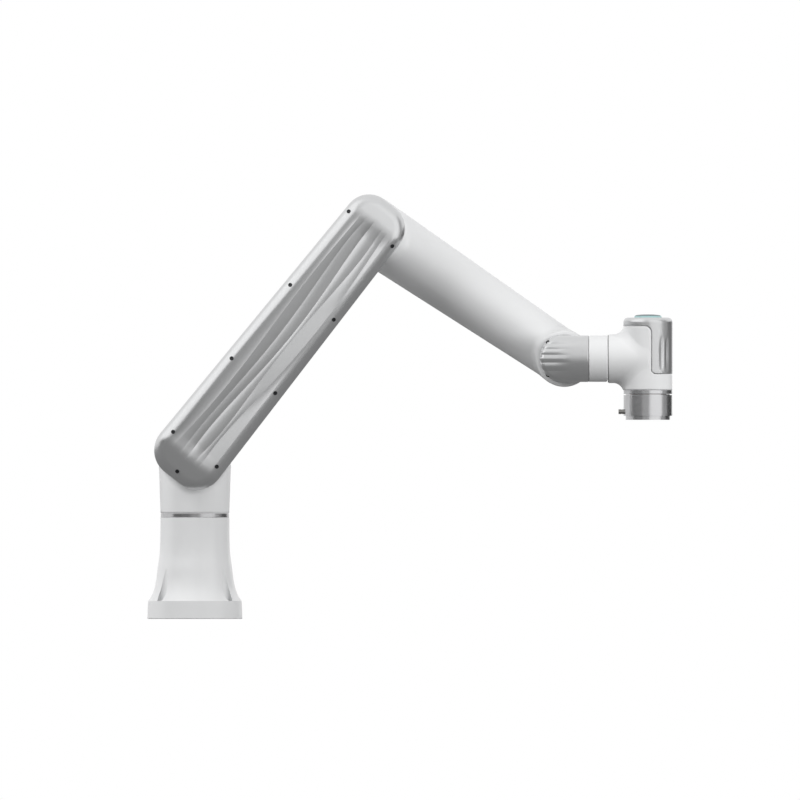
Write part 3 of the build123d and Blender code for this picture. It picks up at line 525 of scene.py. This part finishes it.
# Upper arm cover: a pressed shell with a rounded rim, long flutes and ends that dip
arm_way = elbow_axis - shoulder_axis
arm_way.y = 0
arm_heading = arm_way.normalized()
arm_length = arm_way.length
arm_across = Vector((-arm_heading.z, 0, arm_heading.x))
cover_low, cover_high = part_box("upper_arm_cover")
screw_head_height = 1.1 * mm
cover_face_y = cover_low.y + screw_head_height + 0.3 * mm
cover_back_y = cover_high.y

low_end_reach = 60.4 * mm
high_end_reach = 52.1 * mm
low_half_width = 61.0 * mm
high_half_width = 53.4 * mm
low_corner_radius = 45 * mm
high_corner_radius = 42 * mm
rim_radius = 18 * mm
cover_wall = 3 * mm
end_slope = 0.28
end_bend_radius = 55 * mm
low_end_start = -9 * mm
high_end_start = arm_length + 4 * mm


def half_width(along):
    return low_half_width - (low_half_width - high_half_width) * along / arm_length


def arm_ring(inset, counts):
    """The cover's outline moved inwards, as places along and across the arm, counterclockwise."""
    corner_count, side_count, end_count = counts
    low, high = -low_end_reach, arm_length + high_end_reach
    corners = [
        ((low, -half_width(low)), low_corner_radius),
        ((high, -half_width(high)), high_corner_radius),
        ((high, half_width(high)), high_corner_radius),
        ((low, half_width(low)), low_corner_radius),
    ]
    points = []
    for index, (corner, radius) in enumerate(corners):
        here = np.array(corner)
        before = np.array(corners[index - 1][0])
        after = np.array(corners[(index + 1) % 4][0])
        way_in = (here - before) / np.linalg.norm(here - before)
        way_out = (after - here) / np.linalg.norm(after - here)
        turn = np.arccos(np.clip(way_in @ way_out, -1, 1))
        inward_in = np.array((-way_in[1], way_in[0]))
        start = here - way_in * radius * np.tan(turn / 2)
        centre = start + inward_in * radius
        for share in np.linspace(0, 1, corner_count):
            angle = share * turn
            spoke = -inward_in * np.cos(angle) + way_in * np.sin(angle)
            points.append(centre + spoke * (radius - inset))
        end = points[-1]
        next_radius = corners[(index + 1) % 4][1]
        following = np.array(corners[(index + 2) % 4][0])
        next_way = (following - after) / np.linalg.norm(following - after)
        next_turn = np.arccos(np.clip(way_out @ next_way, -1, 1))
        inward_out = np.array((-way_out[1], way_out[0]))
        stop = after - way_out * next_radius * np.tan(next_turn / 2) + inward_out * inset
        steps = side_count if index % 2 == 0 else end_count
        for share in np.linspace(0, 1, steps + 2)[1:-1]:
            points.append(end + (stop - end) * share)
    return np.array(points)


# Creases of the cover, from the upper left edge to the lower right one: offsets across the arm and
# depths under the rim, in millimetres, at the same places along the arm, as the photograph shows them
crease_places = (0, 80, 160, 240, 320, 400, 465)
crease_lines = {
    "rim": ((43.6, 43.8, 44.8, 42.6, 39.5, 38.3, 38.0), (0, 0, 0, 0, 0, 0, 0)),
    "ridge": ((31.0, 25.0, 24.4, 26.7, 29.0, 28.4, 26.7), (1.3, 1.5, 1.3, 1.2, 0.9, 0.3, 0.2)),
    "valley": ((16.2, 14.7, 10.7, 9.6, 13.0, 17.6, 16.5), (2.6, 3.3, 3.9, 4.1, 3.7, 2.6, 2.0)),
    "keel": ((2.6, 2.0, -3.7, -8.0, -5.6, -0.4, 2.0), (3.8, 4.4, 4.4, 4.3, 4.3, 4.2, 3.6)),
    "sliver": ((-13.0, -17.0, -13.4, -13.6, -15.4, -19.6, -16.0), (3.2, 3.7, 3.6, 3.4, 3.4, 3.0, 2.6)),
    "lower": ((-23.0, -24.3, -31.0, -35.6, -35.6, -31.4, -26.0), (2.8, 3.2, 1.5, 0.6, 0.7, 1.9, 2.2)),
    "edge": ((-43.5, -43.0, -43.0, -44.6, -43.0, -40.0, -39.0), (0, 0, 0, 0, 0, 0, 0)),
}
# How much steeper each face between two creases starts than it runs: hollow faces above 0, humps below
end_bows = (0.22, -0.09, -0.20, -0.21, -0.17, 0.0)
middle_bows = (0.20, -0.09, -0.19, -0.15, 0.0, 0.13)


def along_crease(values, along):
    """A crease's offset or depth at places along the arm, on a smooth line through its values."""
    line = np.polynomial.Polynomial.fit(crease_places, values, 5)
    return line(np.clip(along / mm, crease_places[0], crease_places[-1])) * mm


def end_dip(past):
    """How far an end of the cover falls away past the place where it starts to bend."""
    past = np.maximum(past, 0)
    bend_length = end_slope * end_bend_radius
    bent = np.minimum(past, bend_length)
    return bent**2 / (2 * end_bend_radius) + end_slope * (past - bent)


def cover_height(along, across):
    """How far the cover's face lies below its highest level, at places along and across the arm."""
    middle = fade(along, 70 * mm, 170 * mm) * (1 - fade(along, 300 * mm, 400 * mm))
    lines = [(along_crease(offsets, along), along_crease(depths, along))
             for offsets, depths in crease_lines.values()]
    drop = np.zeros(np.shape(along))
    for index in range(len(lines) - 1):
        upper, upper_depth = lines[index]
        lower, lower_depth = lines[index + 1]
        width = np.maximum(upper - lower, 1 * mm)
        share = np.clip((upper - across) / width, 0, 1)
        bow = end_bows[index] * (1 - middle) + middle_bows[index] * middle
        depth = upper_depth + (lower_depth - upper_depth) * share + bow * width * share * (1 - share)
        drop = np.where((across <= upper) & (across > lower), depth, drop)
    after_start = fade(along, -30 * mm, 10 * mm)
    before_end = 1 - fade(along, arm_length - 20 * mm, arm_length + 24 * mm)
    dips = end_dip(low_end_start - along) + end_dip(along - high_end_start)
    return drop * after_start * before_end + dips


def cover_sheet(inset, wall):
    """Rings of points of the cover's skin from its back edge over the rim to its spine."""
    counts = (26, 170, 26)
    rings = []
    radius = rim_radius - wall
    outer = arm_ring(inset, counts)
    rings.append((outer, np.full(len(outer), cover_back_y)))
    for angle in np.linspace(0, pi / 2, 13):
        ring = arm_ring(inset + radius * (1 - cos(angle)), counts)
        level = cover_face_y + wall + radius * (1 - sin(angle))
        rings.append((ring, level + cover_height(ring[:, 0], ring[:, 1])))
    inner = rings[-1][0]
    spine = inner.copy()
    spine[:, 0] = np.clip(inner[:, 0], 20 * mm, arm_length - 20 * mm)
    spine[:, 1] = 0
    for share in np.linspace(0, 1, 72)[1:]:
        ring = inner * (1 - share) + spine * share
        rings.append((ring, cover_face_y + wall + cover_height(ring[:, 0], ring[:, 1])))
    points = []
    for ring, level in rings:
        for (along, across), y in zip(ring, level):
            place = shoulder_axis + arm_heading * along + arm_across * across
            points.append((place.x, y, place.z))
    return points, len(rings), len(outer)


def arm_cover():
    outside, ring_count, length = cover_sheet(0, 0)
    inside, _, _ = cover_sheet(cover_wall, cover_wall)
    faces = []
    offset = len(outside)
    for ring in range(ring_count - 1):
        for place in range(length):
            after = (place + 1) % length
            a, b = ring * length + place, ring * length + after
            c, d = a + length, b + length
            faces.append((a, b, d, c))
            faces.append((offset + c, offset + d, offset + b, offset + a))
    for place in range(length):
        after = (place + 1) % length
        faces.append((after, place, offset + place, offset + after))
    piece = mesh_object("upper_arm_fluted_cover", outside + inside, faces)
    mesh = bmesh.new()
    mesh.from_mesh(piece.data)
    bmesh.ops.remove_doubles(mesh, verts=mesh.verts, dist=0.02 * mm)
    bmesh.ops.recalc_face_normals(mesh, faces=mesh.faces)
    mesh.to_mesh(piece.data)
    mesh.free()
    piece.data.shade_smooth()
    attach(piece, "upper_arm")
    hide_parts("upper_arm_cover")
    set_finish(piece, "satin_grey")
    return piece


arm_cover()


# Screws: dark round heads with a hexagon socket, seated square on the surface under them

def socket_screw(mesh, place, facing, head_radius, stands_proud=screw_head_height):
    """Adds one screw to a mesh. The head's rim is rounded and its socket has six flats."""
    socket_radius = 0.56 * head_radius
    rings = [
        (head_radius, -2.5 * mm),
        (head_radius, stands_proud - 0.35 * mm),
        (head_radius - 0.1 * mm, stands_proud - 0.1 * mm),
        (head_radius - 0.35 * mm, stands_proud),
        (socket_radius + 0.25 * mm, stands_proud),
        (socket_radius, stands_proud - 0.2 * mm),
        (socket_radius, 0.2 * mm),
    ]
    socket_start = 5
    turn = facing.to_track_quat("Z", "Y")
    sides = 36
    made = []
    for index, (radius, height) in enumerate(rings):
        ring = []
        for side in range(sides):
            angle = 2 * pi * side / sides
            reach = radius
            if index >= socket_start:
                reach = radius * cos(pi / 6) / cos((angle + pi / 6) % (pi / 3) - pi / 6)
            corner = Vector((reach * cos(angle), reach * sin(angle), height))
            ring.append(mesh.verts.new(place + turn @ corner))
        made.append(ring)
    for lower, upper in zip(made, made[1:]):
        for side in range(sides):
            after = (side + 1) % sides
            mesh.faces.new((lower[side], lower[after], upper[after], upper[side]))
    mesh.faces.new(list(reversed(made[0])))
    mesh.faces.new(made[-1])


def screws(name, places, head_radius, body, stands_for):
    mesh = bmesh.new()
    for place, facing in places:
        socket_screw(mesh, place, facing, head_radius)
    data = bpy.data.meshes.new(name)
    mesh.to_mesh(data)
    mesh.free()
    piece = bpy.data.objects.new(name, data)
    bpy.context.scene.collection.objects.link(piece)
    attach(piece, body)
    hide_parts(stands_for)
    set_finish(piece, "screw_steel")


def cover_seat(along, across):
    """The place on the cover's skin, and the way that it faces, at a place along and across the arm."""
    small = 0.5 * mm

    def level(s, t):
        from_side = half_width(s) - abs(t)
        from_end = min(s + low_end_reach, arm_length + high_end_reach - s)
        inset = min(from_side, from_end)
        round_drop = rim_radius - np.sqrt(max(rim_radius**2 - max(rim_radius - inset, 0) ** 2, 0))
        return float(cover_face_y + round_drop + cover_height(np.array([s]), np.array([t]))[0])

    here = level(along, across)
    slope_along = (level(along + small, across) - level(along - small, across)) / (2 * small)
    slope_across = (level(along, across + small) - level(along, across - small)) / (2 * small)
    place = shoulder_axis + arm_heading * along + arm_across * across
    place.y = here
    facing = Vector((0, -1, 0)) + arm_heading * slope_along + arm_across * slope_across
    return place, facing.normalized()


screw_rows = 4
screw_pitch = arm_length / (screw_rows - 1)
screw_offset = 46 * mm
end_screw_place = -46.7 * mm
screw_head_radius = 3.4 * mm
cover_screw_places = [
    cover_seat(screw_pitch * row, side * screw_offset) for row in range(screw_rows) for side in (-1, 1)
]
cover_screw_places.append(cover_seat(end_screw_place, 0))
screws(
    "cover_socket_screws", cover_screw_places, screw_head_radius, "upper_arm", "upper_arm_cover_screws"
)


# Materials: each gives its surface its colour, its grain and its gloss

def graph(name):
    """A new material with its Principled shader, and a function that adds nodes to it."""
    material = bpy.data.materials.new(name)
    material.use_nodes = True
    nodes, links = material.node_tree.nodes, material.node_tree.links
    shader = nodes["Principled BSDF"]

    def add(kind, inputs=(), **settings):
        node = nodes.new(kind)
        for key, value in settings.items():
            setattr(node, key, value)
        for socket, value in dict(inputs).items():
            if isinstance(value, bpy.types.NodeSocket):
                links.new(value, node.inputs[socket])
            else:
                node.inputs[socket].default_value = value
        return node

    return material, shader, add, links


def grained(
    name, colour, roughness, metallic=0.0, spread=0.03, grain=900, bump=0.04, stretch=(1, 1, 1), coat=0.0
):
    """A finish whose colour, gloss and height vary finely, along a stretched grain if it is brushed."""
    material, shader, add, links = graph(name)
    place = add("ShaderNodeTexCoord")
    fine_place = add("ShaderNodeMapping", {"Vector": place.outputs["Object"], "Scale": stretch})
    fine = add("ShaderNodeTexNoise", {"Vector": fine_place.outputs[0], "Scale": grain, "Detail": 3.0})
    broad = add("ShaderNodeTexNoise", {"Vector": place.outputs["Object"], "Scale": 9.0, "Detail": 2.0})
    darker = [channel * (1 - spread) for channel in colour] + [1]
    lighter = [min(1, channel * (1 + spread)) for channel in colour] + [1]
    tone = add("ShaderNodeMix", data_type="RGBA")
    mixed = add("ShaderNodeMath", {0: fine.outputs[0], 1: broad.outputs[0]}, operation="ADD")
    halved = add("ShaderNodeMath", {0: mixed.outputs[0], 1: 0.5}, operation="MULTIPLY")
    links.new(halved.outputs[0], tone.inputs["Factor"])
    tone.inputs["A"].default_value = darker
    tone.inputs["B"].default_value = lighter
    links.new(tone.outputs["Result"], shader.inputs["Base Color"])
    gloss = add(
        "ShaderNodeMapRange",
        {"Value": halved.outputs[0], "To Min": roughness * 0.9, "To Max": roughness * 1.1},
    )
    links.new(gloss.outputs[0], shader.inputs["Roughness"])
    raised = add("ShaderNodeBump", {"Height": fine.outputs[0], "Strength": bump, "Distance": 0.2 * mm})
    links.new(raised.outputs[0], shader.inputs["Normal"])
    shader.inputs["Metallic"].default_value = metallic
    shader.inputs["Coat Weight"].default_value = coat
    shader.inputs["Coat Roughness"].default_value = 0.1
    return material


white_paint = grained("white_paint", (0.80, 0.805, 0.81), 0.32, spread=0.015, coat=0.15)
satin_grey = grained("satin_grey", (0.62, 0.625, 0.63), 0.30, metallic=0.85, spread=0.03)
ring_metal = grained("turned_aluminium", (0.72, 0.72, 0.73), 0.22, metallic=1.0, stretch=(0.02, 1, 0.02))
flange_metal = grained("turned_flange", (0.66, 0.66, 0.67), 0.25, metallic=1.0, stretch=(0.02, 0.02, 1))
screw_steel = grained("screw_steel", (0.020, 0.021, 0.023), 0.45, metallic=0.3)
seal_rubber = grained("seal_rubber", (0.03, 0.03, 0.032), 0.6)
light_plastic = grained("light_plastic", (0.36, 0.56, 0.56), 0.3)
button_plastic = grained("button_plastic", (0.13, 0.16, 0.17), 0.4)
panel_plastic = grained("panel_plastic", (0.04, 0.04, 0.045), 0.45)
connector_metal = grained("connector_metal", (0.36, 0.355, 0.34), 0.25, metallic=1.0)
cable_jacket = grained("cable_jacket", (0.02, 0.02, 0.02), 0.5)
gear_steel = grained("gear_steel", (0.40, 0.40, 0.42), 0.3, metallic=1.0)
motor_windings = grained("motor_windings", (0.50, 0.22, 0.09), 0.35, metallic=0.6)

finishes = {
    "white_paint": white_paint,
    "satin_grey": satin_grey,
    "joint_metal": ring_metal,
    "screw_steel": screw_steel,
    "seal_rubber": seal_rubber,
    "light_plastic": light_plastic,
    "button_plastic": button_plastic,
    "panel_plastic": panel_plastic,
    "connector_metal": connector_metal,
    "cable_jacket": cable_jacket,
    "gear_steel": gear_steel,
    "motor_windings": motor_windings,
}
upright_rings = ("base_joint_ring", "flange_ring", "tool_flange")

slot_of_node = {part["node"]: part["material_slot"] for part in frame["record"]["subparts"]}
for name, node in frame["nodes"].items():
    finish = finishes[slot_of_node[name]]
    if name in upright_rings:
        finish = flange_metal
    node.data.materials.clear()
    node.data.materials.append(finish)
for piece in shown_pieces():
    if "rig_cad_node" not in piece:
        piece.data.materials.append(finishes[piece["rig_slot"]])


# Stage: floor, lamps, reflection cards and the camera

scene_middle = Vector((0.34, -0.10, 0.36))


floor_bounce = 0.25
world_fill = 0.30
card_distance = 3.2


def seen_directly(tree):
    """A socket that is 1 for rays from the camera, from gloss and through glass, and 0 for the rest."""
    nodes, links = tree.nodes, tree.links
    path = nodes.new("ShaderNodeLightPath")
    total = path.outputs["Is Camera Ray"]
    for kind in ("Is Glossy Ray", "Is Transmission Ray"):
        larger = nodes.new("ShaderNodeMath")
        larger.operation = "MAXIMUM"
        links.new(total, larger.inputs[0])
        links.new(path.outputs[kind], larger.inputs[1])
        total = larger.outputs[0]
    return total


def pale_floor():
    """A wide pale floor. Bounced light sees it darker, so that it doesn't light the arm from below."""
    mesh = bmesh.new()
    bmesh.ops.create_grid(mesh, x_segments=8, y_segments=8, size=30.0)
    data = bpy.data.meshes.new("floor")
    mesh.to_mesh(data)
    mesh.free()
    floor = bpy.data.objects.new("floor", data)
    floor.location.z = -0.2 * mm
    bpy.context.scene.collection.objects.link(floor)
    material, shader, add, links = graph("floor_paint")
    shown = seen_directly(material.node_tree)
    cloud = add("ShaderNodeTexNoise", {"Scale": 3.0, "Detail": 2.0})
    shade = add("ShaderNodeMapRange", {"Value": cloud.outputs[0], "To Min": 0.90, "To Max": 0.94})
    level = add("ShaderNodeMath", {0: shown, 1: shade.outputs[0]}, operation="MULTIPLY")
    floored = add("ShaderNodeMath", {0: level.outputs[0], 1: floor_bounce}, operation="MAXIMUM")
    links.new(floored.outputs[0], shader.inputs["Base Color"])
    shader.inputs["Roughness"].default_value = 0.9
    shader.inputs["Specular IOR Level"].default_value = 0.1
    floor.data.materials.append(material)


def heading(azimuth, elevation):
    """The way from the arm's middle at an azimuth, 0 to the front and 90 to the right, and elevation."""
    turn, rise = radians(azimuth), radians(elevation)
    return Vector((sin(turn) * cos(rise), -cos(turn) * cos(rise), sin(rise)))


def area_lamp(name, azimuth, elevation, distance, size, power):
    """A soft lamp that looks at the arm's middle. The cards stand for it in reflections."""
    way = heading(azimuth, elevation)
    lamp = bpy.data.lights.new(name, "AREA")
    lamp.shape = "RECTANGLE"
    lamp.size, lamp.size_y = size
    lamp.energy = power
    holder = bpy.data.objects.new(name, lamp)
    holder.location = scene_middle + way * distance
    holder.rotation_euler = (-way).to_track_quat("-Z", "Y").to_euler()
    holder.visible_glossy = False
    bpy.context.scene.collection.objects.link(holder)


def glowing(name, strength):
    """A plain emission for a card."""
    material = bpy.data.materials.new(name)
    material.use_nodes = True
    nodes, links = material.node_tree.nodes, material.node_tree.links
    nodes.remove(nodes["Principled BSDF"])
    glow = nodes.new("ShaderNodeEmission")
    glow.inputs["Strength"].default_value = strength
    links.new(glow.outputs[0], nodes["Material Output"].inputs["Surface"])
    return material


def only_in_reflections(card):
    card.visible_camera = False
    card.visible_diffuse = False
    card.visible_transmission = False
    card.visible_volume_scatter = False
    card.visible_shadow = False


def reflection_card(name, azimuths, elevations, strength):
    """A curved card around the arm that shows in its gloss alone, between two azimuths and elevations."""
    across, up = 12, 8
    points, faces = [], []
    for row in range(up + 1):
        elevation = elevations[0] + (elevations[1] - elevations[0]) * row / up
        for column in range(across + 1):
            azimuth = azimuths[0] + (azimuths[1] - azimuths[0]) * column / across
            points.append(scene_middle + heading(azimuth, elevation) * card_distance)
    for row in range(up):
        for column in range(across):
            first = row * (across + 1) + column
            faces.append((first, first + 1, first + across + 2, first + across + 1))
    card = mesh_object(name, points, faces)
    card.data.materials.append(glowing(name, strength))
    only_in_reflections(card)


def dark_floor_card(strength):
    """A disc close above the floor, seen by gloss alone, so that undersides reflect a dark studio."""
    mesh = bmesh.new()
    bmesh.ops.create_circle(mesh, cap_ends=True, segments=48, radius=3.1)
    data = bpy.data.meshes.new("floor_card")
    mesh.to_mesh(data)
    mesh.free()
    card = bpy.data.objects.new("floor_card", data)
    card.location = (scene_middle.x, scene_middle.y, 0.5 * mm)
    bpy.context.scene.collection.objects.link(card)
    card.data.materials.append(glowing("floor_card", strength))
    only_in_reflections(card)


def studio_world():
    """White to the camera and to reflections, and a dimmer fill to everything else."""
    world = bpy.data.worlds.new("studio")
    bpy.context.scene.world = world
    world.use_nodes = True
    nodes, links = world.node_tree.nodes, world.node_tree.links
    background = nodes["Background"]
    level = nodes.new("ShaderNodeMapRange")
    level.inputs["To Min"].default_value = world_fill
    level.inputs["To Max"].default_value = 1.0
    links.new(seen_directly(world.node_tree), level.inputs["Value"])
    links.new(level.outputs[0], background.inputs["Strength"])
    background.inputs["Color"].default_value = (1, 1, 1, 1)


def photo_camera():
    """A level camera far in front of the arm, framed as the photograph is."""
    camera = bpy.data.cameras.new("camera")
    camera.type = "ORTHO"
    camera.ortho_scale = 1.32
    camera.clip_end = 40
    holder = bpy.data.objects.new("camera", camera)
    holder.location = (0.3384, -8.0, 0.3612)
    holder.rotation_euler = (pi / 2, 0, 0)
    bpy.context.scene.collection.objects.link(holder)
    bpy.context.scene.camera = holder


bpy.context.scene.view_settings.view_transform = "Standard"
pale_floor()
area_lamp("left_softbox", -66, 28, 4.5, (2.8, 2.8), 140)
area_lamp("right_softbox", 56, 14, 4.5, (1.8, 2.4), 128)
area_lamp("top_softbox", 0, 84, 2.4, (2.4, 1.6), 8)
studio_world()
reflection_card("front_card", (-20, 15), (-5, 9), 0.42)
reflection_card("low_front_card", (-48, 74), (-60, -5), 0.32)
reflection_card("upper_gap_card", (-12, 14), (9, 62), 0.75)
reflection_card("right_softbox_card", (15, 72), (-5, 50), 1.20)
reflection_card("right_middle_card", (72, 100), (-5, 40), 0.35)
reflection_card("right_dark_card", (100, 142), (-14, 10), 0.06)
reflection_card("left_dark_card", (-82, -20), (-40, 9), 0.10)
reflection_card("upper_left_card", (-100, -12), (9, 78), 1.35)
dark_floor_card(0.24)
photo_camera()
